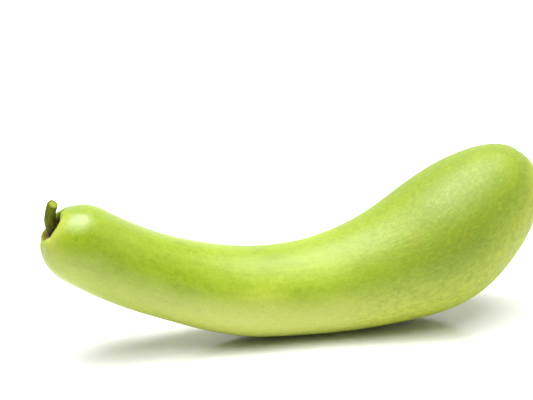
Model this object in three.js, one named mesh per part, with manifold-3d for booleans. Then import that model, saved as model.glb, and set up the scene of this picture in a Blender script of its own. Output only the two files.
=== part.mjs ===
// A bottle gourd as picked: a long club-shaped fruit with its cut stem.
// It rests on its belly, and both ends curve up clear of the surface.
// Sizes are in millimetres. +Z is up and +X runs towards the fat blossom end.
// The origin is on the small flat ground spot that the fruit rests on, right under its weight.

import * as THREE from "three";
import { mergeVertices } from "three/addons/utils/BufferGeometryUtils.js";
import Module from "manifold-3d";

// Fruit: its middle line runs from the stem pole to the blossom pole, in short steps at these headings.
const FRUIT_LENGTH = 392;
const FRUIT_HEADINGS = [-38, -27, -14.5, 3, 16, 39, 51]; // degrees above level, at even places along the line
const FRUIT_START = { x: -210.5, z: 99 };
const FRUIT_SWAY = 2.5; // how far the line wanders to each side

// Girth at even places along the line, before both ends are rounded off.
const FRUIT_RADII = [27.3, 28, 29, 32, 34.5, 40.5, 48.5, 48.5, 47];
const NECK_CAP = 29;
const NECK_BLUNTNESS = 2.4; // 2 is an ellipse, and more is blunter
const BLOSSOM_CAP = 95;
const BLOSSOM_BLUNTNESS = 2.2;

// The hollow round the stem, a little off the middle of the neck's end, and the raised shoulder round it.
const CAVITY_RADIUS = 14;
const CAVITY_SQUASH = 0.84; // its height as a share of its width
const CAVITY_DEPTH = 8;
const CAVITY_SHIFT = 1.6; // towards the back
const SHOULDER_RADIUS = 14;
const SHOULDER_REACH = 9;
const SHOULDER_HEIGHT = 1.2;

// The dry scar where the flower was.
const SCAR_RADIUS = 9;
const SCAR_DEPTH = 1.8;
const SCAR_BUTTON_RADIUS = 4;
const SCAR_BUTTON_HEIGHT = 1.6;

// Slow swellings along the fruit, and faint flat sides that twist a little, as shares of the radius.
const SWELL = 0.007;
const SWELL_COUNT = 5;
const FLATNESS = 0.008;
const FLAT_SIDES = 3;
const FLAT_TWIST = 5; // radians from end to end

// Stem: a short ribbed stub that bends upright and ends in a slanted cut.
const STEM_LENGTH = 26;
const STEM_HEADINGS = [152, 132, 109, 90, 77, 66]; // degrees from +X, from the foot to the cut
const STEM_RADII = [4.8, 4.7, 4.2, 3.9, 3.6, 3.6];
const STEM_FOOT_DEPTH = 3; // below the floor of the cavity
const STEM_FOOT_DROP = 1.3; // below the fruit's middle line
const STEM_FOOT_SHIFT = 1.5; // towards the back
const STEM_RIBS = 5;
const STEM_RIB_HEIGHT = 0.06; // as a share of the radius
const STEM_CUT_SLOPE = 0.5;
const STEM_CUT_START = 0.6; // the slant fades in from this share of the length
const FIT_GAP = 0.3; // all round the stem's foot, where it stands in the fruit

// How finely the surfaces are divided.
const LINE_STEPS = 200;
const FRUIT_SIDES = 56;
const NECK_RINGS = 26;
const BODY_RINGS = 26;
const BLOSSOM_RINGS = 20;
const POLE_CROWDING = 1.5; // above 1, rings crowd towards the poles
const STEM_SIDES = 30;
const STEM_RINGS = 22;

const wasm = await Module();
wasm.setup();

// A smooth value between others that stand at even places: share 0 is the first, 1 the last.
function smoothThrough(values, share) {
  const curve = new THREE.SplineCurve(values.map((value, i) => new THREE.Vector2(i, value)));
  return curve.getPoint(THREE.MathUtils.clamp(share, 0, 1)).y;
}

// A soft bump: 1 in the middle, falling to 0 at the given distance.
function softBump(distance, reach) {
  const share = Math.min(distance / reach, 1);
  return (1 - share ** 2) ** 2;
}

// The middle line of a grown body, which lies in the XZ plane apart from its sway.
class MiddleLine {
  constructor({ length, headings, start = { x: 0, z: 0 }, sway = 0 }) {
    this.length = length;
    this.headings = headings;
    this.sway = sway;
    this.points = [new THREE.Vector3(start.x, 0, start.z)];
    const step = length / LINE_STEPS;
    for (let i = 0; i < LINE_STEPS; i += 1) {
      const heading = this.heading((i + 0.5) * step);
      const move = new THREE.Vector3(Math.cos(heading), 0, Math.sin(heading)).multiplyScalar(step);
      this.points.push(this.points[i].clone().add(move));
    }
  }

  heading(distance) {
    return THREE.MathUtils.degToRad(smoothThrough(this.headings, distance / this.length));
  }

  // The line's own directions: ahead along it, up from it, and where it is.
  at(distance) {
    const place = THREE.MathUtils.clamp(distance / this.length, 0, 1) * LINE_STEPS;
    const from = Math.min(Math.floor(place), LINE_STEPS - 1);
    const centre = this.points[from].clone().lerp(this.points[from + 1], place - from);
    centre.y = this.sway * Math.sin(2 * Math.PI * (distance / this.length));
    const heading = this.heading(distance);
    const ahead = new THREE.Vector3(Math.cos(heading), 0, Math.sin(heading));
    const upward = new THREE.Vector3(-Math.sin(heading), 0, Math.cos(heading));
    return { centre, ahead, upward };
  }
}

// Turns a profile round a line and bends it along that line.
// The profile's points hold a radius and a distance along the line. At each point of the surface,
// shape gives the radius its relief and says how far the point is pushed ahead.
function grow(profile, sides, line, shape) {
  const geometry = new THREE.LatheGeometry(profile, sides);
  const position = geometry.attributes.position;
  for (let i = 0; i < position.count; i += 1) {
    const radius = Math.hypot(position.getX(i), position.getZ(i));
    const distance = position.getY(i);
    const angle = Math.atan2(position.getX(i), position.getZ(i));
    const { factor, push } = shape(distance / line.length, angle, radius);
    const { centre, ahead, upward } = line.at(distance);
    centre.addScaledVector(upward, radius * factor * Math.cos(angle));
    centre.addScaledVector(ahead, push);
    centre.y -= radius * factor * Math.sin(angle);
    position.setXYZ(i, centre.x, centre.y, centre.z);
  }
  return geometry;
}

// Rounds off one end: radius and depth both run from 0 at the pole to 1 at the full girth.
function roundedEnd(rings, bluntness) {
  const points = [];
  for (let i = 0; i <= rings; i += 1) {
    const turn = (Math.PI / 2) * (i / rings) ** POLE_CROWDING;
    const radius = Math.sin(turn) ** (2 / bluntness);
    const depth = 1 - Math.max(Math.cos(turn), 0) ** (2 / bluntness);
    points.push({ radius, depth });
  }
  return points;
}

// The fruit's profile, from its stem pole to the scar at its blossom end.
function fruitProfile() {
  const girth = (distance) => smoothThrough(FRUIT_RADII, distance / FRUIT_LENGTH);
  const neck = roundedEnd(NECK_RINGS, NECK_BLUNTNESS).map((end) => {
    const distance = NECK_CAP * end.depth;
    return new THREE.Vector2(girth(distance) * end.radius, distance);
  });
  const blossom = roundedEnd(BLOSSOM_RINGS, BLOSSOM_BLUNTNESS).map((end) => {
    const distance = FRUIT_LENGTH - BLOSSOM_CAP * end.depth;
    const radius = girth(distance) * end.radius;
    const scar = SCAR_DEPTH * softBump(radius, SCAR_RADIUS);
    const button = SCAR_BUTTON_HEIGHT * softBump(radius, SCAR_BUTTON_RADIUS);
    return new THREE.Vector2(radius, distance - scar + button);
  });
  const body = [];
  for (let i = 1; i < BODY_RINGS; i += 1) {
    const distance = THREE.MathUtils.lerp(NECK_CAP, FRUIT_LENGTH - BLOSSOM_CAP, i / BODY_RINGS);
    body.push(new THREE.Vector2(girth(distance), distance));
  }
  return [...neck, ...body, ...blossom.reverse()];
}

// How far the neck's end is drawn in round the stem, less the shoulder that stands up round that hollow.
function neckHollow(angle, radius) {
  const up = (radius * Math.cos(angle)) / CAVITY_SQUASH;
  const back = -radius * Math.sin(angle) - CAVITY_SHIFT;
  const hollow = CAVITY_DEPTH * softBump(Math.hypot(up, back), CAVITY_RADIUS);
  const shoulder = SHOULDER_HEIGHT * softBump(Math.abs(radius - SHOULDER_RADIUS), SHOULDER_REACH);
  return hollow - shoulder;
}

// The fruit's slow swellings and faint flat sides, and the hollow at its neck's end.
function fruitRelief(share, angle, radius) {
  const swell = SWELL * Math.sin(2 * Math.PI * SWELL_COUNT * share + angle);
  const side = FLATNESS * Math.sin(FLAT_SIDES * angle + FLAT_TWIST * share);
  const atNeck = share * FRUIT_LENGTH < NECK_CAP;
  return { factor: 1 + swell + side, push: atNeck ? neckHollow(angle, radius) : 0 };
}

// The stem's profile, from its flat foot to its cut, with every radius grown by the given amount.
function stemProfile(growth) {
  const points = [new THREE.Vector2(0, 0)];
  for (let i = 0; i <= STEM_RINGS; i += 1) {
    const share = i / STEM_RINGS;
    points.push(new THREE.Vector2(smoothThrough(STEM_RADII, share) + growth, share * STEM_LENGTH));
  }
  points.push(new THREE.Vector2(0, STEM_LENGTH));
  return points;
}

// Ribs along the stem, and its end sheared into a slant that faces the front.
function stemRelief(share, angle, radius) {
  const rib = STEM_RIB_HEIGHT * Math.cos(STEM_RIBS * angle);
  const slant = STEM_CUT_SLOPE * THREE.MathUtils.smoothstep(share, STEM_CUT_START, 1);
  return { factor: 1 + rib, push: -slant * radius * Math.sin(angle) };
}

// A closed geometry as a solid that can be joined and cut.
function solidOf(geometry) {
  const bare = geometry.clone();
  bare.deleteAttribute("normal");
  bare.deleteAttribute("uv");
  const merged = mergeVertices(bare);
  const corners = merged.index.array;
  const kept = [];
  for (let i = 0; i < corners.length; i += 3) {
    const [a, b, c] = corners.slice(i, i + 3);
    if (a !== b && b !== c && c !== a) {
      kept.push(a, b, c);
    }
  }
  const vertProperties = new Float32Array(merged.attributes.position.array);
  const triVerts = new Uint32Array(kept);
  return new wasm.Manifold(new wasm.Mesh({ numProp: 3, vertProperties, triVerts }));
}

// A solid back as a geometry that a mesh can show.
function geometryOf(solid) {
  const { vertProperties, triVerts } = solid.getMesh();
  const geometry = new THREE.BufferGeometry();
  geometry.setAttribute("position", new THREE.BufferAttribute(vertProperties, 3));
  geometry.setIndex(new THREE.BufferAttribute(triVerts, 1));
  geometry.computeVertexNormals();
  return geometry;
}

// Everything under the surface that the fruit rests on.
function groundBlock() {
  const depth = 20;
  const block = new THREE.BoxGeometry(FRUIT_LENGTH, FRUIT_LENGTH, depth);
  return block.translate(0, 0, -depth / 2);
}

// The stem about its own foot, with every radius grown by the given amount.
function stemBody(growth) {
  const line = new MiddleLine({ length: STEM_LENGTH, headings: STEM_HEADINGS });
  return grow(stemProfile(growth), STEM_SIDES, line, stemRelief);
}

// Where the stem's foot stands, at a distance from the fruit's stem pole.
function footPlace(line, distance) {
  const { centre, upward } = line.at(distance);
  centre.addScaledVector(upward, -STEM_FOOT_DROP);
  centre.y += STEM_FOOT_SHIFT;
  return centre;
}

// The fruit, resting on its ground spot, with a socket for the stem's foot.
function fruitBody(line, socket) {
  const whole = solidOf(grow(fruitProfile(), FRUIT_SIDES, line, fruitRelief));
  return geometryOf(whole.subtract(solidOf(groundBlock())).subtract(solidOf(socket)));
}

const skin = new THREE.MeshStandardMaterial({ color: 0xa9cb45, roughness: 0.38, metalness: 0 });
const stalk = new THREE.MeshStandardMaterial({ color: 0x7c8a2c, roughness: 0.75, metalness: 0 });

const fruitLine = new MiddleLine({
  length: FRUIT_LENGTH,
  headings: FRUIT_HEADINGS,
  start: FRUIT_START,
  sway: FRUIT_SWAY,
});
const stemFoot = footPlace(fruitLine, CAVITY_DEPTH + STEM_FOOT_DEPTH);
const socketFoot = footPlace(fruitLine, CAVITY_DEPTH + STEM_FOOT_DEPTH + FIT_GAP);
const socket = stemBody(FIT_GAP).translate(socketFoot.x, socketFoot.y, socketFoot.z);

const fruit = new THREE.Mesh(fruitBody(fruitLine, socket), skin);
fruit.name = "fruit";

const stem = new THREE.Mesh(geometryOf(solidOf(stemBody(0))), stalk);
stem.name = "stem";
stem.position.copy(stemFoot);

const group = new THREE.Group();
group.add(fruit, stem);

export default group;
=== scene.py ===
"""A bottle gourd as picked, lying on its belly on a pale studio floor.

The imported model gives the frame: metres, +Z up and +X towards the fat blossom end.
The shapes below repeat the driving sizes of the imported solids, in millimetres, and add the finer relief.
"""

import enum
import logging
import math
from dataclasses import dataclass, field
from typing import Any, Callable, Sequence, Union

import bmesh
import bpy
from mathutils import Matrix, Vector, noise


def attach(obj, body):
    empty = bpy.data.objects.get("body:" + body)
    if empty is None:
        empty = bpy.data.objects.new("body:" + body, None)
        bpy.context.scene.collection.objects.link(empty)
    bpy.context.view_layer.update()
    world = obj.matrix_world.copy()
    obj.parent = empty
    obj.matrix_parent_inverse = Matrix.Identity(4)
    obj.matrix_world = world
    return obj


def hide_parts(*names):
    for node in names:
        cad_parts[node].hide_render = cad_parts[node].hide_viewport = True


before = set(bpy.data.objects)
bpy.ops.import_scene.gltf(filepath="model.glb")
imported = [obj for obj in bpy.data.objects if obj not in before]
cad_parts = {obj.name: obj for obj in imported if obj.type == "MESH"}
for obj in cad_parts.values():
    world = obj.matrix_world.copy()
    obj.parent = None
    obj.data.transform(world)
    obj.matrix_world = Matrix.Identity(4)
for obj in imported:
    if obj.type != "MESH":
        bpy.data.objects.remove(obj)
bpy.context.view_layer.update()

LOG = logging.getLogger("bottle_gourd")

# One millimetre in metres, and how close, in millimetres, two points are before they become one.
MM = 0.001
MERGE_MM = 0.0005

# A band is where a change starts and ends. A wave is its length, its height and a seed.
Tone = tuple[int, int, int]
Band = tuple[float, float]
Profile = list[tuple[float, float]]
Relief = Callable[[float, float, float], tuple[float, float]]
Wave = tuple[float, float, float]


# Plain numbers.


def smooth_through(values: Sequence[float], share: float) -> float:
    """Gives a smooth value between others that stand at even places.

    Args:
        values: The values, the first at share 0 and the last at share 1.
        share: Where to read, from 0 to 1.

    Returns:
        The value there, on a curve through all of them.
    """
    place = min(max(share, 0.0), 1.0) * (len(values) - 1)
    index = min(int(place), len(values) - 2)
    part = place - index
    before = values[max(index - 1, 0)]
    start, end = values[index], values[index + 1]
    after = values[min(index + 2, len(values) - 1)]
    lean_in, lean_out = (end - before) / 2, (after - start) / 2
    return (
        (2 * start - 2 * end + lean_in + lean_out) * part**3
        + (-3 * start + 3 * end - 2 * lean_in - lean_out) * part**2
        + lean_in * part
        + start
    )


def soft_bump(distance: float, reach: float) -> float:
    """Gives a soft bump: 1 in the middle, falling to 0 at the given distance.

    Args:
        distance: How far from the middle.
        reach: Where the bump ends.

    Returns:
        The bump's height, from 0 to 1.
    """
    share = min(abs(distance) / reach, 1.0)
    return (1 - share**2) ** 2


def smooth_step(value: float, low: float, high: float) -> float:
    """Gives 0 below the low edge, 1 above the high one, and an easy ramp between.

    Args:
        value: The value to read.
        low: The edge where the ramp starts.
        high: The edge where it ends.

    Returns:
        The ramp's height, from 0 to 1.
    """
    share = min(max((value - low) / (high - low), 0.0), 1.0)
    return share * share * (3 - 2 * share)


def rounded_end(rings: int, bluntness: float, crowding: float) -> Profile:
    """Rounds off one end of a grown body.

    Args:
        rings: How many steps to take.
        bluntness: 2 for an ellipse, and more for a blunter end.
        crowding: Above 1, the steps crowd towards the pole.

    Returns:
        Pairs of radius and depth, both from 0 at the pole to 1 at the full girth.
    """
    pairs = []
    for ring in range(rings + 1):
        turn = math.pi / 2 * (ring / rings) ** crowding
        radius = math.sin(turn) ** (2 / bluntness)
        depth = 1 - max(math.cos(turn), 0.0) ** (2 / bluntness)
        pairs.append((radius, depth))
    return pairs


def direction(azimuth: float, elevation: float) -> Vector:
    """Gives the direction from the object towards a place round it.

    Args:
        azimuth: The turn about +Z in degrees, 0 in front of the object and -90 on its left.
        elevation: The angle above level in degrees.

    Returns:
        The direction, one unit long.
    """
    turn, rise = math.radians(azimuth), math.radians(elevation)
    return Vector((math.sin(turn) * math.cos(rise), -math.cos(turn) * math.cos(rise), math.sin(rise)))


def linear(tone: Tone) -> tuple[float, float, float, float]:
    """Turns a screen tone, 0 to 255 a channel, into the linear colour that shaders take.

    Args:
        tone: Red, green and blue as a screen shows them.

    Returns:
        The linear colour with full alpha.
    """
    channels = []
    for channel in tone:
        share = channel / 255
        channels.append(share / 12.92 if share <= 0.04045 else ((share + 0.055) / 1.055) ** 2.4)
    return (channels[0], channels[1], channels[2], 1.0)


# Shader boards.


class Wire:
    """One output of a node. Arithmetic on it adds Math nodes."""

    def __init__(self, board: "Board", socket: bpy.types.NodeSocket) -> None:
        """Keeps the board and the socket."""
        self.board = board
        self.socket = socket

    def combine(self, operation: str, first: "Value", second: "Value") -> "Wire":
        """Adds one Math node.

        Args:
            operation: The Math node's operation.
            first: Its first value.
            second: Its second value.

        Returns:
            The node's result.
        """
        return self.board.add("ShaderNodeMath", {"operation": operation}, [first, second])

    def __add__(self, other: "Value") -> "Wire":
        """Adds."""
        return self.combine("ADD", self, other)

    __radd__ = __add__

    def __sub__(self, other: "Value") -> "Wire":
        """Takes the other away."""
        return self.combine("SUBTRACT", self, other)

    def __rsub__(self, other: "Value") -> "Wire":
        """Is taken away from the other."""
        return self.combine("SUBTRACT", other, self)

    def __mul__(self, other: "Value") -> "Wire":
        """Multiplies."""
        return self.combine("MULTIPLY", self, other)

    __rmul__ = __mul__

    def __truediv__(self, other: "Value") -> "Wire":
        """Divides by the other."""
        return self.combine("DIVIDE", self, other)

    def __pow__(self, other: "Value") -> "Wire":
        """Raises to a power."""
        return self.combine("POWER", self, other)

    def higher(self, other: "Value") -> "Wire":
        """Gives the higher of the two."""
        return self.combine("MAXIMUM", self, other)


Value = Union[Wire, float]
Paint = Union[Wire, Tone]


class Board:
    """The node board of one material, or of the room round the scene."""

    def __init__(self, owner: bpy.types.Material | bpy.types.World) -> None:
        """Empties the board of a material or a world.

        Args:
            owner: The material or world.
        """
        self.owner = owner
        self.owner.use_nodes = True
        self.tree = self.owner.node_tree
        self.tree.nodes.clear()

    def add(
        self,
        kind: str,
        settings: dict[str, Any] | None = None,
        inputs: dict[str, Any] | list[Any] | None = None,
        output: str | int = 0,
    ) -> Wire:
        """Adds any node.

        Args:
            kind: The node's type.
            settings: Its settings, which are set first.
            inputs: Values or wires for its sockets, by name or in order.
            output: Which output to give back.

        Returns:
            That output.
        """
        node = self.tree.nodes.new(kind)
        for name, value in (settings or {}).items():
            setattr(node, name, value)
        pairs = inputs.items() if isinstance(inputs, dict) else enumerate(inputs or [])
        for key, value in pairs:
            if isinstance(value, Wire):
                self.tree.links.new(value.socket, node.inputs[key])
            else:
                node.inputs[key].default_value = value
        return Wire(self, node.outputs[output])

    def straight(self) -> Wire:
        """Gives the place on the body before it was bent, in millimetres."""
        return self.add("ShaderNodeAttribute", {"attribute_name": STRAIGHT}, output="Vector")

    def place(self) -> Wire:
        """Gives the place in the object, in metres."""
        return self.add("ShaderNodeTexCoord", output="Object")

    def split(self, vector: Wire) -> tuple[Wire, Wire, Wire]:
        """Takes a vector apart.

        Args:
            vector: The vector.

        Returns:
            Its three parts.
        """
        first = self.add("ShaderNodeSeparateXYZ", None, [vector])
        outputs = first.socket.node.outputs
        return first, Wire(self, outputs[1]), Wire(self, outputs[2])

    def stretch(self, vector: Wire, scale: tuple[float, float, float]) -> Wire:
        """Scales a place along its three axes, so that a pattern on it is finer or coarser there.

        Args:
            vector: The place.
            scale: One factor for each axis.

        Returns:
            The scaled place.
        """
        return self.add("ShaderNodeVectorMath", {"operation": "MULTIPLY"}, [vector, scale])

    def cloud(self, place: Wire, scale: float, detail: float = 2.0, roughness: float = 0.5) -> Wire:
        """Adds a cloudy noise.

        Args:
            place: Where it is read.
            scale: How many clouds to one unit.
            detail: How many finer layers it has.
            roughness: How strong those are.

        Returns:
            The noise, about 0.5 on average.
        """
        inputs = {"Vector": place, "Scale": scale, "Detail": detail, "Roughness": roughness}
        return self.add("ShaderNodeTexNoise", {"noise_dimensions": "3D"}, inputs)

    def dots(self, place: Wire, scale: float, size: float, share: float) -> Wire:
        """Scatters small round dots.

        Args:
            place: Where they are read.
            scale: How many cells to one unit.
            size: A dot's radius, as a share of its cell.
            share: Which share of the cells has a dot.

        Returns:
            1 inside a dot and 0 outside.
        """
        far = self.add("ShaderNodeTexVoronoi", None, {"Vector": place, "Scale": scale})
        pick = Wire(self, far.socket.node.outputs["Color"])
        chance = self.split(pick)[0]
        spot = 1.0 - self.ramp(far, size * 0.45, size)
        return spot * self.ramp(chance, 1.0 - share - 0.02, 1.0 - share + 0.02)

    def ramp(self, value: Value, low: float, high: float) -> Wire:
        """Gives 0 below the low edge, 1 above the high one, and an easy ramp between.

        Args:
            value: The value to read.
            low: The edge where the ramp starts.
            high: The edge where it ends.

        Returns:
            The ramp's height.
        """
        settings = {"interpolation_type": "SMOOTHSTEP"}
        inputs = {"Value": value, "From Min": low, "From Max": high}
        return self.add("ShaderNodeMapRange", settings, inputs)

    def paint(self, mask: Value, under: Paint, over: Paint) -> Wire:
        """Paints one colour over another.

        Args:
            mask: How much of the upper colour shows.
            under: The lower colour.
            over: The upper colour.

        Returns:
            The mixed colour.
        """
        colours = [tone if isinstance(tone, Wire) else linear(tone) for tone in (under, over)]
        node = self.tree.nodes.new("ShaderNodeMix")
        node.data_type = "RGBA"
        for socket, value in zip((node.inputs[0], node.inputs[6], node.inputs[7]), (mask, *colours)):
            if isinstance(value, Wire):
                self.tree.links.new(value.socket, socket)
            else:
                socket.default_value = value
        return Wire(self, node.outputs[2])

    def layers(self, colour: Paint, *coats: tuple[Value, float, Tone]) -> Wire:
        """Paints several colours, one over the other.

        Args:
            colour: The colour at the bottom.
            coats: For each colour above it, where it shows, how strongly, and the colour.

        Returns:
            The mixed colour.
        """
        for mask, share, tone in coats:
            colour = self.paint(mask * share, colour, tone)
        return colour

    def bump(self, height: Wire, distance: float) -> Wire:
        """Turns a height into a bumped normal.

        Args:
            height: The height, about 0 to 1.
            distance: What a height of 1 stands for, in metres.

        Returns:
            The normal.
        """
        return self.add("ShaderNodeBump", None, {"Height": height, "Distance": distance, "Strength": 1.0})

    def close(self, shader: str, inputs: dict[str, Any], output: str) -> None:
        """Closes the board with its last shader and its output.

        Args:
            shader: The shader node's type.
            inputs: Values or wires for the shader's sockets, by name.
            output: The output node's type.
        """
        last = self.add(shader, None, inputs)
        end = self.tree.nodes.new(output)
        self.tree.links.new(last.socket, end.inputs["Surface"])

    def finish(self, inputs: dict[str, Any]) -> bpy.types.Material:
        """Closes a material's board with a Principled shader.

        Args:
            inputs: Values or wires for the shader's sockets, by name.

        Returns:
            The material.
        """
        self.close("ShaderNodeBsdfPrincipled", inputs, "ShaderNodeOutputMaterial")
        return self.owner


# Finishes.


class SkinPlace:
    """Where a point of the skin lies before the bend, and the patterns that are read there.

    Across runs towards the front, side upwards and along from the stem, all in millimetres.
    """

    def __init__(self, board: Board) -> None:
        """Reads the place and the patterns.

        Args:
            board: The board of the skin's material.
        """
        self.straight = board.straight()
        self.across, self.side, self.along = board.split(self.straight)
        self.radius = (self.across * self.across + self.side * self.side) ** 0.5
        self.blotches = board.cloud(board.stretch(self.straight, (1.0, 1.0, 0.55)), 0.03, 3.0, 0.55)
        self.mottle = board.cloud(self.straight, 0.2, 4.0, 0.65)
        self.grain = board.cloud(board.stretch(self.straight, (1.0, 1.0, 0.45)), 0.45, 3.0, 0.65)
        self.streaks = board.cloud(board.stretch(self.straight, (1.0, 1.0, 0.07)), 0.42, 2.0, 0.6)
        self.hairs = board.cloud(board.stretch(self.straight, (0.3, 0.3, 1.0)), 1.5, 3.0, 0.65)
        self.scuffs = board.cloud(self.straight, 0.05, 4.0, 0.7)
        self.rags = board.cloud(board.stretch(self.straight, (1.0, 1.0, 0.4)), 0.5, 3.0, 0.6)
        self.pale_dots = board.dots(self.straight, 0.5, 0.24, 0.5)
        self.dark_dots = board.dots(board.stretch(self.straight, (1.1, 0.9, 1.0)), 0.3, 0.14, 0.35)
        self.below = self.side * -1.0 / self.radius.higher(1.0) + (self.blotches - 0.5) * 0.5


@dataclass(frozen=True)
class SkinFinish:
    """The gourd's waxy green skin, with its dry tissue round the stem and at the blossom scar.

    A band says where a change starts and ends: in millimetres from the stem's pole for the parts of
    the fruit, in millimetres from the middle of the hollow or the scar for what surrounds those.
    """

    name: str = "gourd_skin"
    deep: Tone = (130, 156, 14)
    middle: Tone = (152, 174, 34)
    light: Tone = (168, 187, 50)
    # Pale tone of the flanks and belly, partly painted bounce light from the floor.
    belly: Tone = (198, 206, 96)
    ends: Tone = (112, 136, 8)
    # Yellower tone: random patches, and painted bounce light below the fat half.
    yellow_tone_and_bounce: Tone = (194, 206, 44)
    fleck: Tone = (188, 200, 66)
    speck: Tone = (100, 124, 12)
    scuff: Tone = (156, 150, 44)
    dry: Tone = (94, 90, 10)
    # Blackish tone of the blossom button, and of the hollow's floor, where it is partly painted shade.
    dark: Tone = (48, 38, 6)
    neck_tip: Band = (8.0, 20.0)
    neck_top: Band = (25.0, 80.0)
    neck_flank: Band = (40.0, 120.0)
    middle_start: Band = (40.0, 150.0)
    middle_end: Band = (230.0, 320.0)
    waist_start: Band = (100.0, 160.0)
    waist_end: Band = (240.0, 300.0)
    matt_half: Band = (70.0, 220.0)
    relief_start: Band = (60.0, 140.0)
    fat_half: Band = (190.0, 260.0)
    blossom_half: Band = (230.0, 330.0)
    pale_end: Band = (190.0, 320.0)
    blossom_tip: Band = (350.0, 360.0)
    lip_start: Band = (10.5, 13.5)
    lip_end: Band = (15.0, 24.0)
    wall: Band = (11.0, 14.5)
    tissue: Band = (9.0, 12.5)
    tissue_lean: float = 0.15
    hollow_floor_and_shade: Band = (6.5, 10.5)
    near_side: Band = (-2.0, 9.0)
    upper_side: Band = (-14.0, -5.0)
    far_side: Band = (0.0, 6.0)
    scar: Band = (4.0, 7.5)
    button: Band = (1.5, 4.0)
    raggedness: float = 3.5
    roughness: float = 0.34
    matt_roughness: float = 0.16
    dry_roughness: float = 0.6
    relief_height: float = 0.0004
    refraction: float = 1.52
    glow: float = 0.1
    glow_reach: tuple[float, float, float] = (0.6, 1.0, 0.15)
    glow_scale: float = 0.006

    def greens(self, board: Board, place: SkinPlace) -> Wire:
        """Paints the greens: deeper at both ends, darker on top (partly a deeper sunny-side green, partly
        painted shade), paler on the flanks and below (partly a pale ground spot, partly painted bounce
        light), and with painted shade on the lowest underside.

        Args:
            board: The material's board.
            place: The place on the skin.

        Returns:
            The colour.
        """
        tone = place.blotches * 0.56 + place.mottle * 0.32 + place.streaks * 0.12
        along = place.along
        middle = board.ramp(along, *self.middle_start) * (1.0 - board.ramp(along, *self.middle_end))
        tips = board.ramp(along, *self.blossom_half) * 0.35 + (1.0 - middle) * 0.25
        # Darker on top: partly a deeper sunny-side green, partly painted shade that tones down the lit
        # top, strongest at the neck and along the middle of the body, where it dims the sheen.
        waist_shade = board.ramp(along, *self.waist_start) * (1.0 - board.ramp(along, *self.waist_end))
        deep_top_and_shade = 0.25 + (1.0 - board.ramp(along, *self.neck_top)) * 0.35 + waist_shade * 0.14
        # Paler on the flanks and below: partly a pale ground spot, partly painted bounce light from the
        # floor.
        pale = (middle * 0.45 + 0.46) * (1.0 - board.ramp(along, *self.pale_end) * 0.65)
        flank = place.below - (1.0 - board.ramp(along, *self.neck_flank)) * 0.25
        return board.layers(
            self.deep,
            (board.ramp(tone, 0.36, 0.5), 1.0, self.middle),
            (board.ramp(tone, 0.48, 0.64), 1.0, self.light),
            (tips, 1.0, self.ends),
            ((1.0 - board.ramp(place.below, -0.95, -0.35)) * deep_top_and_shade, 1.0, self.ends),
            (board.ramp(flank, -0.45, 0.5) * pale, 1.0, self.belly),
            # Painted shade on the lowest underside, next to the floor.
            (board.ramp(place.below, 0.5, 0.9), 0.3, self.middle),
        )

    def marks(self, board: Board, place: SkinPlace, fat: Wire, colour: Wire) -> Wire:
        """Paints the hairs, dots, mottling and scuffs, with painted bounce light below the fat half and a
        band of painted shade across its flank.

        Args:
            board: The material's board.
            place: The place on the skin.
            fat: 1 on the fat half and 0 on the other.
            colour: The colour underneath.

        Returns:
            The colour with its marks.
        """
        # Painted shade in a band across the fat half's flank.
        shaded = board.ramp(place.below, -0.8, -0.4) * (1.0 - board.ramp(place.below, -0.35, 0.1))
        coarse = board.ramp(place.grain, 0.42, 0.72) * (fat * 0.22 + 0.08)
        fine = (1.0 - board.ramp(place.grain, 0.28, 0.5)) * (fat * 0.12 + 0.05)
        return board.layers(
            colour,
            (board.ramp(place.hairs, 0.52, 0.72), 0.18, self.fleck),
            (1.0 - board.ramp(place.hairs, 0.3, 0.48), 0.2, self.speck),
            (place.pale_dots, 0.22, self.fleck),
            (place.dark_dots, 0.4, self.speck),
            # Painted bounce light from the floor: a yellower tone below the fat half.
            (board.ramp(place.below, -0.2, 0.5) * fat, 0.55, self.yellow_tone_and_bounce),
            (shaded * fat, 0.3, self.ends),
            (coarse, 1.0, self.speck),
            (fine, 1.0, self.fleck),
            (board.ramp(place.mottle, 0.38, 0.72) * fat, 0.42, self.ends),
            ((1.0 - board.ramp(place.blotches, 0.34, 0.5)) * fat, 0.12, self.yellow_tone_and_bounce),
            (board.ramp(place.scuffs, 0.62, 0.72), 0.4, self.scuff),
        )

    def poles(self, board: Board, place: SkinPlace, fruit: "Fruit", colour: Wire) -> tuple[Wire, Wire]:
        """Paints the hollow with its lip and dry tissue, a blackish floor that is partly dried tissue and
        partly painted shade, and the blossom scar.

        Args:
            board: The material's board.
            place: The place on the skin.
            fruit: The fruit, for the hollow's sizes.
            colour: The colour underneath.

        Returns:
            The colour, and how dry the skin is, from 0 to 1.
        """
        ragged = (place.rags - 0.5) * self.raggedness
        sideways = place.across + fruit.cavity_shift
        upwards = place.side / fruit.cavity_squash
        away = (sideways * sideways + upwards * upwards) ** 0.5 + ragged
        neck = 1.0 - board.ramp(place.along, *self.neck_tip)
        lip = board.ramp(away, *self.lip_start) * (1.0 - board.ramp(away, *self.lip_end)) * neck
        near = board.ramp(place.across, *self.near_side) * board.ramp(upwards, *self.upper_side)
        far = board.ramp(sideways * -1.0, *self.far_side)
        wall = (1.0 - board.ramp(away, *self.wall)) * neck
        tissue = (1.0 - board.ramp(away + upwards * self.tissue_lean, *self.tissue)) * neck
        # The hollow's floor round the stem: partly dried tissue, partly painted shade in the recess.
        hollow_floor_and_shade = (1.0 - board.ramp(away, *self.hollow_floor_and_shade)) * neck
        tail = board.ramp(place.along, *self.blossom_tip)
        scar = (1.0 - board.ramp(place.radius + ragged, *self.scar)) * tail
        button = (1.0 - board.ramp(place.radius + ragged, *self.button)) * tail
        colour = board.layers(
            colour,
            (lip * near, 0.5, self.belly),
            (lip * far, 0.6, self.ends),
            (wall, 0.6, self.ends),
            (tissue.higher(scar), 1.0, self.dry),
            (hollow_floor_and_shade.higher(button), 1.0, self.dark),
        )
        return colour, wall.higher(scar)

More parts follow.
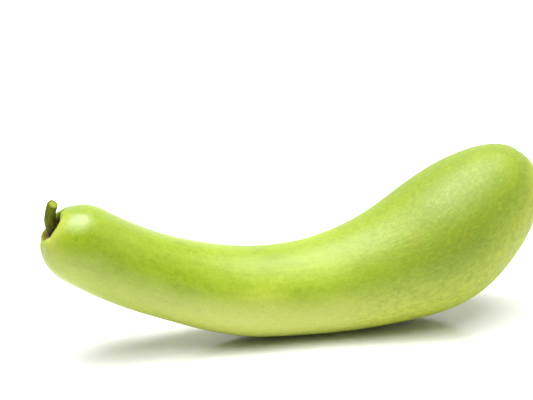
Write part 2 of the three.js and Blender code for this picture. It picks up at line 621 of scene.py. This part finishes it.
    def build(self, fruit: "Fruit") -> bpy.types.Material:
        """Makes the material.

        Args:
            fruit: The fruit that wears it, for its sizes.

        Returns:
            The material.
        """
        board = Board(bpy.data.materials.new(self.name))
        place = SkinPlace(board)
        fat = board.ramp(place.along, *self.fat_half)
        colour = self.marks(board, place, fat, self.greens(board, place))
        colour, dried = self.poles(board, place, fruit, colour)
        rough = self.roughness + (place.mottle - 0.5) * 0.12 + (place.blotches - 0.5) * 0.1
        rough = rough + (place.grain - 0.5) * 0.12 + dried * self.dry_roughness
        rough = rough + board.ramp(place.along, *self.matt_half) * self.matt_roughness
        relief = place.hairs * 0.35 + place.mottle * 0.5 + place.streaks * 0.3
        relief = relief + place.grain * (fat * 0.15 + 0.1) - place.pale_dots * 0.1
        relief = relief * (board.ramp(place.along, *self.relief_start) * 0.35 + 0.65)
        return board.finish(
            {
                "Base Color": colour,
                "Roughness": rough,
                "Normal": board.bump(relief, self.relief_height),
                "IOR": self.refraction,
                "Subsurface Weight": self.glow,
                "Subsurface Radius": self.glow_reach,
                "Subsurface Scale": self.glow_scale,
            }
        )


@dataclass(frozen=True)
class StalkFinish:
    """The cut stem: olive, fibrous, brown and dry at its foot, fresh and pale on its cut.

    A band says where a change starts and ends, in millimetres: up from the buried foot for the foot
    and the shaft, down from the cut for the face, and out from the middle for what is on the cut.
    """

    name: str = "gourd_stem"
    green: Tone = (110, 120, 14)
    shade: Tone = (78, 84, 8)
    rib: Tone = (140, 148, 34)
    bark: Tone = (58, 44, 6)
    cut: Tone = (130, 138, 28)
    pith: Tone = (148, 154, 44)
    edge: Tone = (90, 97, 16)
    foot: Band = (3.0, 11.0)
    shaft: Band = (15.0, 24.0)
    right_side: Band = (-0.5, 2.5)
    face: Band = (0.45, 0.1)
    pith_end: Band = (0.9, 1.8)
    edge_start: Band = (2.3, 3.3)
    roughness: float = 0.68
    relief_height: float = 0.0005
    refraction: float = 1.3

    def build(self, stem: "Stem") -> bpy.types.Material:
        """Makes the material.

        Args:
            stem: The stem that wears it, for its sizes.

        Returns:
            The material.
        """
        board = Board(bpy.data.materials.new(self.name))
        straight = board.straight()
        across, side, along = board.split(straight)
        radius = (across * across + side * side) ** 0.5

        fibres = board.cloud(board.stretch(straight, (1.0, 1.0, 0.08)), 2.4, 3.0, 0.6)
        patches = board.cloud(board.stretch(straight, (1.0, 1.0, 0.5)), 0.35, 3.0, 0.6)
        rings = board.cloud(straight, 1.6, 2.0, 0.6)

        # Brown up one side of the lower shaft: partly dry bark, partly painted shade on the side away from
        # the light.
        right = board.ramp(side * -1.0 + (fibres - 0.5) * 2.0, *self.right_side)
        low, high = (stem.foot_depth + height for height in self.foot)
        foot = 1.0 - board.ramp(along + (patches - 0.5) * 8.0, low, high)
        colour = board.layers(
            self.shade,
            (board.ramp(fibres, 0.38, 0.58), 1.0, self.green),
            (board.ramp(fibres, 0.58, 0.72), 0.6, self.rib),
            (board.ramp(patches, 0.55, 0.7), 0.35, self.bark),
            (right * (1.0 - board.ramp(along, *self.shaft)), 0.9, self.bark),
            (foot, 1.0, self.bark),
        )
        fresh = board.layers(
            self.pith,
            (board.ramp(radius + (rings - 0.5) * 1.4, *self.pith_end), 1.0, self.cut),
            (board.ramp(radius + (rings - 0.5) * 0.8, *self.edge_start), 1.0, self.edge),
        )
        low, high = (stem.length - depth for depth in self.face)
        colour = board.paint(board.ramp(along, low, high), colour, fresh)

        relief = fibres * 0.7 + patches * 0.3
        return board.finish(
            {
                "Base Color": colour,
                "Roughness": self.roughness + (fibres - 0.5) * 0.25,
                "Normal": board.bump(relief, self.relief_height),
                "IOR": self.refraction,
            }
        )


@dataclass(frozen=True)
class FloorFinish:
    """The pale, slightly glossy studio floor."""

    name: str = "studio_floor"
    pale: Tone = (243, 243, 243)
    dull: Tone = (241, 241, 241)
    roughness: float = 0.12
    refraction: float = 1.55

    def build(self) -> bpy.types.Material:
        """Makes the material.

        Returns:
            The material.
        """
        board = Board(bpy.data.materials.new(self.name))
        wear = board.cloud(board.place(), 3.0, 3.0, 0.6)
        return board.finish(
            {
                "Base Color": board.paint(board.ramp(wear, 0.35, 0.65), self.pale, self.dull),
                "Roughness": self.roughness + (wear - 0.5) * 0.03,
                "IOR": self.refraction,
            }
        )


# Grown bodies.

STRAIGHT = "straight"


class Pole(enum.Enum):
    """The two ends of a grown body."""

    NECK = "neck"
    BLOSSOM = "blossom"


@dataclass
class MiddleLine:
    """The line along the middle of a grown body. It lies in the XZ plane, apart from its sway."""

    length: float
    headings: tuple[float, ...]
    start: tuple[float, float, float] = (0.0, 0.0, 0.0)
    sway: float = 0.0
    steps: int = 200
    points: list[Vector] = field(default_factory=list, init=False)

    def __post_init__(self) -> None:
        """Walks along the line in short steps and keeps where they end."""
        self.points.append(Vector(self.start))
        step = self.length / self.steps
        for index in range(self.steps):
            heading = self.heading((index + 0.5) * step)
            move = Vector((math.cos(heading), 0.0, math.sin(heading))) * step
            self.points.append(self.points[-1] + move)

    def heading(self, distance: float) -> float:
        """Gives the line's direction above level, in radians, at a distance along it."""
        return math.radians(smooth_through(self.headings, distance / self.length))

    def at(self, distance: float) -> tuple[Vector, Vector, Vector]:
        """Finds a place on the line.

        Args:
            distance: How far along the line, in millimetres.

        Returns:
            The place, the direction ahead and the direction up from the line.
        """
        share = distance / self.length
        place = min(max(share, 0.0), 1.0) * self.steps
        index = min(int(place), self.steps - 1)
        centre = self.points[index].lerp(self.points[index + 1], place - index)
        centre.y += self.sway * math.sin(math.tau * share)
        heading = self.heading(distance)
        ahead = Vector((math.cos(heading), 0.0, math.sin(heading)))
        upward = Vector((-math.sin(heading), 0.0, math.cos(heading)))
        return centre, ahead, upward


def settle(shape: bmesh.types.BMesh) -> None:
    """Lists the faces in the order of their points, because a merge leaves their order to chance.

    Args:
        shape: The mesh to put in order.
    """
    shape.verts.index_update()
    count = len(shape.verts)

    def rank(face: bmesh.types.BMFace) -> float:
        """Gives each face a number of its own, from its three earliest points."""
        first, second, third = sorted(vert.index for vert in face.verts)[:3]
        return float((first * count + second) * count + third)

    shape.faces.sort(key=rank)
    shape.faces.index_update()


def grow(name: str, profile: Profile, sides: int, line: MiddleLine, relief: Relief) -> bpy.types.Object:
    """Spins a profile into a closed straight body, then bends it along a line.

    Args:
        name: The piece's name.
        profile: Pairs of radius and distance along the line, from pole to pole, in millimetres.
        sides: How many faces go round.
        line: The line that the body follows.
        relief: Gives a factor on the radius and a push ahead, from distance, angle and radius.

    Returns:
        The piece, with its place before the bend kept in an attribute.
    """
    shape = bmesh.new()
    chain = [shape.verts.new((0.0, radius, distance)) for radius, distance in profile]
    rungs = [shape.edges.new(pair) for pair in zip(chain, chain[1:])]
    bmesh.ops.spin(
        shape,
        geom=chain + rungs,
        cent=(0.0, 0.0, 0.0),
        axis=(0.0, 0.0, 1.0),
        steps=sides,
        angle=math.tau,
        use_merge=True,
    )
    bmesh.ops.remove_doubles(shape, verts=shape.verts, dist=MERGE_MM)
    settle(shape)
    before = shape.verts.layers.float_vector.new(STRAIGHT)
    for vert in shape.verts:
        across, side, distance = vert.co
        vert[before] = vert.co
        radius, angle = math.hypot(across, side), math.atan2(across, side)
        factor, push = relief(distance, angle, radius)
        centre, ahead, upward = line.at(distance)
        spot = centre + upward * (radius * factor * math.cos(angle)) + ahead * push
        spot.y -= radius * factor * math.sin(angle)
        vert.co = spot * MM
    bmesh.ops.recalc_face_normals(shape, faces=shape.faces)
    for face in shape.faces:
        face.smooth = True
    mesh = bpy.data.meshes.new(name)
    shape.to_mesh(mesh)
    shape.free()
    piece = bpy.data.objects.new(name, mesh)
    bpy.context.scene.collection.objects.link(piece)
    return piece


def ripple(place: Vector, waves: Sequence[Wave]) -> float:
    """Adds up smooth waves over a surface.

    Args:
        place: Where they are read, in millimetres.
        waves: The length and height of each, and a seed that sets its pattern apart.

    Returns:
        The height of all of them together.
    """
    height = 0.0
    for size, rise, seed in waves:
        height += rise * noise.noise(place / size + Vector((seed, -seed, seed * 0.5)))
    return height


@dataclass
class Fruit:
    """The gourd itself: a long club that bends upwards at both ends."""

    length: float = 392.0
    headings: tuple[float, ...] = (-38, -27, -14.5, 3, 16, 39, 51)
    start: tuple[float, float, float] = (-210.5, 0.0, 99.0)
    sway: float = 2.5
    radii: tuple[float, ...] = (27.3, 28, 29, 32, 34.5, 40.5, 48.5, 48.5, 47)
    neck_cap: float = 29.0
    neck_bluntness: float = 2.4
    blossom_cap: float = 95.0
    blossom_bluntness: float = 2.2
    cavity_radius: float = 14.0
    cavity_squash: float = 0.84
    cavity_depth: float = 8.0
    cavity_shift: float = 1.6
    shoulder_radius: float = 14.0
    shoulder_reach: float = 9.0
    shoulder_height: float = 1.2
    scar_radius: float = 9.0
    scar_depth: float = 1.8
    button_radius: float = 4.0
    button_height: float = 1.6
    swell: float = 0.007
    swell_count: int = 5
    flatness: float = 0.008
    flat_sides: int = 3
    flat_twist: float = 5.0
    sides: int = 192
    neck_rings: int = 80
    body_rings: int = 110
    blossom_rings: int = 84
    crowding: float = 1.35
    pucker_count: int = 7
    pucker_height: float = 0.3
    wrinkle_count: int = 11
    wrinkle_height: float = 0.22
    waves: tuple[Wave, ...] = ((34.0, 0.3, 3.1), (11.0, 0.06, 7.7))
    wave_stretch: float = 0.6
    wave_margin: float = 20.0
    finish: SkinFinish = field(default_factory=SkinFinish)
    line: MiddleLine = field(init=False)

    def __post_init__(self) -> None:
        """Lays out the middle line."""
        self.line = MiddleLine(self.length, self.headings, self.start, self.sway)

    def girth(self, distance: float) -> float:
        """Gives the radius at a distance along the line, before the ends are rounded off."""
        return smooth_through(self.radii, distance / self.length)

    def profile(self) -> Profile:
        """Draws the profile from the floor of the stem's hollow to the blossom scar.

        Returns:
            Pairs of radius and distance along the line.
        """
        pairs = []
        for share, depth in rounded_end(self.neck_rings, self.neck_bluntness, self.crowding):
            distance = self.neck_cap * depth
            pairs.append((self.girth(distance) * share, distance))
        first, last = self.neck_cap, self.length - self.blossom_cap
        for ring in range(1, self.body_rings):
            distance = first + (last - first) * ring / self.body_rings
            pairs.append((self.girth(distance), distance))
        blossom = rounded_end(self.blossom_rings, self.blossom_bluntness, self.crowding)
        for share, depth in reversed(blossom):
            distance = self.length - self.blossom_cap * depth
            radius = self.girth(distance) * share
            scar = self.scar_depth * soft_bump(radius, self.scar_radius)
            button = self.button_height * soft_bump(radius, self.button_radius)
            pairs.append((radius, distance - scar + button))
        return pairs

    def fold(self, pole: Pole, angle: float, radius: float) -> float:
        """Puckers the skin where it draws in round the stem, and wrinkles it at the scar.

        Args:
            pole: Which end.
            angle: The angle round the line.
            radius: The distance from the pole.

        Returns:
            How far the skin moves ahead, in millimetres.
        """
        if pole is Pole.NECK:
            wander = 1.4 * math.sin(2 * angle + 0.6) + 0.8 * math.sin(3 * angle)
            wave = math.cos(self.pucker_count * angle + wander)
            window = soft_bump(radius - self.cavity_radius * 0.8, self.cavity_radius * 0.75)
            return self.pucker_height * wave * window
        wave = math.cos(self.wrinkle_count * angle + 1.3 * math.sin(3 * angle))
        window = soft_bump(radius - self.scar_radius * 0.55, self.scar_radius * 0.6)
        return self.wrinkle_height * wave * window

    def hollow(self, angle: float, radius: float) -> float:
        """Draws the neck's end in round the stem, and raises the shoulder round that hollow.

        Args:
            angle: The angle round the line.
            radius: The distance from the pole.

        Returns:
            How far the skin moves ahead, in millimetres.
        """
        up = radius * math.cos(angle) / self.cavity_squash
        back = -radius * math.sin(angle) - self.cavity_shift
        dip = self.cavity_depth * soft_bump(math.hypot(up, back), self.cavity_radius)
        return dip - self.shoulder_height * soft_bump(radius - self.shoulder_radius, self.shoulder_reach)

    def relief(self, distance: float, angle: float, radius: float) -> tuple[float, float]:
        """Gives the skin's relief: swellings, faint flat sides, fine waves and the puckers at the ends.

        Args:
            distance: How far along the line.
            angle: The angle round it.
            radius: The distance from it.

        Returns:
            A factor on the radius, and a push ahead in millimetres.
        """
        share = distance / self.length
        swell = self.swell * math.sin(math.tau * self.swell_count * share + angle)
        side = self.flatness * math.sin(self.flat_sides * angle + self.flat_twist * share)
        along = distance * self.wave_stretch
        wave = ripple(Vector((radius * math.sin(angle), radius * math.cos(angle), along)), self.waves)
        away = min(radius / self.wave_margin, 1.0)
        pole = Pole.NECK if share < 0.5 else Pole.BLOSSOM
        push = self.fold(pole, angle, radius)
        if distance < self.neck_cap:
            push += self.hollow(angle, radius)
        return 1 + swell + side + wave * away / max(radius, 1.0), push

    def build(self) -> bpy.types.Object:
        """Makes the fruit, flat where it rests.

        Returns:
            The dressed piece.
        """
        piece = grow("gourd_skin_body", self.profile(), self.sides, self.line, self.relief)
        for vertex in piece.data.vertices:
            vertex.co.z = max(vertex.co.z, 0.0)
        piece.data.materials.append(self.finish.build(self))
        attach(piece, "root")
        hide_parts("fruit")
        return piece


@dataclass
class Stem:
    """The short ribbed stub of the stalk, which bends upright and ends in a slanted cut."""

    length: float = 26.0
    headings: tuple[float, ...] = (152, 132, 109, 90, 77, 66)
    radii: tuple[float, ...] = (4.8, 4.7, 4.2, 3.9, 3.6, 3.6)
    foot_depth: float = 3.0
    foot_drop: float = 1.3
    foot_shift: float = 1.5
    ribs: int = 5
    rib_height: float = 0.06
    cut_slope: float = 0.5
    cut_start: float = 0.6
    rim: float = 0.45
    hollow: float = 0.3
    flare: float = 1.3
    flare_reach: float = 4.0
    fibres: tuple[Wave, ...] = ((0.8, 0.035, 5.3), (2.2, 0.05, 1.9))
    fibre_girth: float = 3.0
    fibre_stretch: float = 0.12
    rim_rings: int = 6
    sides: int = 120
    rings: int = 96
    face_rings: int = 14
    finish: StalkFinish = field(default_factory=StalkFinish)

    def profile(self) -> Profile:
        """Draws the profile from the buried foot to the middle of the cut.

        Returns:
            Pairs of radius and distance along the line.
        """
        pairs = [(0.0, 0.0)]
        last = self.length - self.rim
        for ring in range(self.rings + 1):
            distance = last * ring / self.rings
            spread = self.flare * soft_bump(distance - self.foot_depth, self.flare_reach)
            pairs.append((smooth_through(self.radii, distance / self.length) + spread, distance))
        edge = smooth_through(self.radii, 1.0) - self.rim
        for ring in range(1, self.rim_rings + 1):
            turn = math.pi / 2 * ring / self.rim_rings
            pairs.append((edge + self.rim * math.cos(turn), last + self.rim * math.sin(turn)))
        for ring in range(1, self.face_rings + 1):
            radius = edge * (1 - ring / self.face_rings)
            pairs.append((radius, self.length - self.hollow * soft_bump(radius, edge * 0.6)))
        return pairs

    def relief(self, distance: float, angle: float, radius: float) -> tuple[float, float]:
        """Gives the stem's ribs and fibres, and shears its end into the slanted cut.

        Args:
            distance: How far along the line.
            angle: The angle round it.
            radius: The distance from it.

        Returns:
            A factor on the radius, and a push ahead in millimetres.
        """
        share = distance / self.length
        rib = self.rib_height * math.cos(self.ribs * angle)
        girth = self.fibre_girth
        place = Vector((girth * math.sin(angle), girth * math.cos(angle), distance * self.fibre_stretch))
        fibre = ripple(place, self.fibres)
        slant = self.cut_slope * smooth_step(share, self.cut_start, 1.0)
        return 1 + rib + fibre, -slant * radius * math.sin(angle)

    def build(self, fruit: Fruit) -> bpy.types.Object:
        """Makes the stem, standing in the hollow of the fruit.

        Args:
            fruit: The fruit that it grows from.

        Returns:
            The dressed piece.
        """
        foot, _, upward = fruit.line.at(fruit.cavity_depth + self.foot_depth)
        foot -= upward * self.foot_drop
        foot.y += self.foot_shift
        line = MiddleLine(self.length, self.headings, tuple(foot))
        piece = grow("gourd_cut_stem", self.profile(), self.sides, line, self.relief)
        piece.data.materials.append(self.finish.build(self))
        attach(piece, "root")
        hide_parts("stem")
        return piece


# The studio.


@dataclass(frozen=True)
class Softbox:
    """One round softbox that faces a spot on the gourd.

    Its azimuth is where it stands, seen from that spot: 0 is in front and -90 is on the left.
    """

    name: str
    aim: tuple[float, float, float]
    azimuth: float
    elevation: float
    distance: float
    size: float
    radiance: float

    def hang(self) -> bpy.types.Object:
        """Hangs the softbox in the scene.

        Returns:
            The light.
        """
        lamp = bpy.data.lights.new(self.name, "AREA")
        lamp.shape = "DISK"
        lamp.size = self.size
        lamp.energy = self.radiance * math.pi * math.pi * self.size**2 / 4
        holder = bpy.data.objects.new(self.name, lamp)
        towards = direction(self.azimuth, self.elevation)
        holder.location = Vector(self.aim) + towards * self.distance
        holder.rotation_euler = (-towards).to_track_quat("-Z", "Y").to_euler()
        holder.visible_camera = False
        bpy.context.scene.collection.objects.link(holder)
        return holder


@dataclass
class Studio:
    """A pale floor, a bright zone overhead, a bright backdrop, a faint fill from the right and the camera.

    Each edge says where a zone of light starts and where it is full, as the cosine to its middle.
    """

    floor_half: float = 12.0
    floor_drop: float = 0.0002
    sky: Tone = (255, 255, 255)
    sky_strength: float = 5.5
    sky_azimuth: float = -30.0
    sky_elevation: float = 83.0
    sky_edge: Band = (0.8, 0.93)
    low_strength: float = 0.04
    side_strength: float = 0.85
    side_edge: Band = (0.3, 0.9)
    backdrop_strength: float = 1.3
    backdrop_edge: Band = (0.6, 0.9)
    lamps: tuple[Softbox, ...] = (
        Softbox(
            name="overhead_light",
            aim=(-0.19, 0.0, 0.1),
            azimuth=163.0,
            elevation=86.0,
            distance=0.95,
            size=0.7,
            radiance=7.0,
        ),
    )
    target: tuple[float, float, float] = (-0.0598, 0.0, 0.103)
    azimuth: float = -17.0
    elevation: float = 18.5
    distance: float = 0.88
    lens: float = 85.0
    sensor: float = 36.0
    sight: float = 100.0
    finish: FloorFinish = field(default_factory=FloorFinish)

    def lay_floor(self) -> bpy.types.Object:
        """Lays the floor just under the fruit.

        Returns:
            The floor.
        """
        shape = bmesh.new()
        bmesh.ops.create_grid(shape, x_segments=8, y_segments=8, size=self.floor_half)
        bmesh.ops.translate(shape, verts=shape.verts, vec=(0.0, 0.0, -self.floor_drop))
        mesh = bpy.data.meshes.new("studio_floor")
        shape.to_mesh(mesh)
        shape.free()
        floor = bpy.data.objects.new("studio_floor", mesh)
        bpy.context.scene.collection.objects.link(floor)
        floor.data.materials.append(self.finish.build())
        return floor

    def light(self) -> None:
        """Lights the room from overhead, from the backdrop and from the right, and hangs the lamps."""
        world = bpy.data.worlds.new("studio_room")
        board = Board(world)
        across, deep, high = board.split(board.add("ShaderNodeTexCoord", output="Generated"))
        aim = direction(self.sky_azimuth, self.sky_elevation)
        overhead = board.ramp(across * aim.x + deep * aim.y + high * aim.z, *self.sky_edge)
        front = direction(self.azimuth, 0.0)
        behind = board.ramp(across * -front.x + deep * -front.y, *self.backdrop_edge)
        seen = board.add("ShaderNodeLightPath", output="Is Camera Ray")
        lit = overhead * self.sky_strength + behind * self.backdrop_strength + self.low_strength
        lit = lit + board.ramp(across, *self.side_edge) * self.side_strength
        strength = lit + seen * (self.backdrop_strength - lit)
        inputs = {"Color": linear(self.sky), "Strength": strength}
        board.close("ShaderNodeBackground", inputs, "ShaderNodeOutputWorld")
        bpy.context.scene.world = world
        for lamp in self.lamps:
            lamp.hang()

    def place_camera(self) -> bpy.types.Object:
        """Puts the camera at its viewing angle.

        Returns:
            The camera.
        """
        back = direction(self.azimuth, self.elevation)
        lens = bpy.data.cameras.new("studio_camera")
        lens.lens = self.lens
        lens.sensor_width = self.sensor
        lens.clip_end = self.sight
        camera = bpy.data.objects.new("studio_camera", lens)
        camera.location = Vector(self.target) + back * self.distance
        camera.rotation_euler = (-back).to_track_quat("-Z", "Y").to_euler()
        bpy.context.scene.collection.objects.link(camera)
        bpy.context.scene.camera = camera
        return camera

    def build(self) -> None:
        """Builds the floor, the light and the camera."""
        self.lay_floor()
        self.light()
        self.place_camera()
        bpy.context.scene.view_settings.view_transform = "Standard"


def main() -> None:
    """Builds the studio and the gourd, and reports each piece."""
    logging.basicConfig(level=logging.INFO, format="%(name)s: %(message)s")
    Studio().build()
    fruit = Fruit()
    stem = Stem()
    for piece in (fruit.build(), stem.build(fruit)):
        LOG.info("%s: %d faces", piece.name, len(piece.data.polygons))


if __name__ == "__main__":
    main()
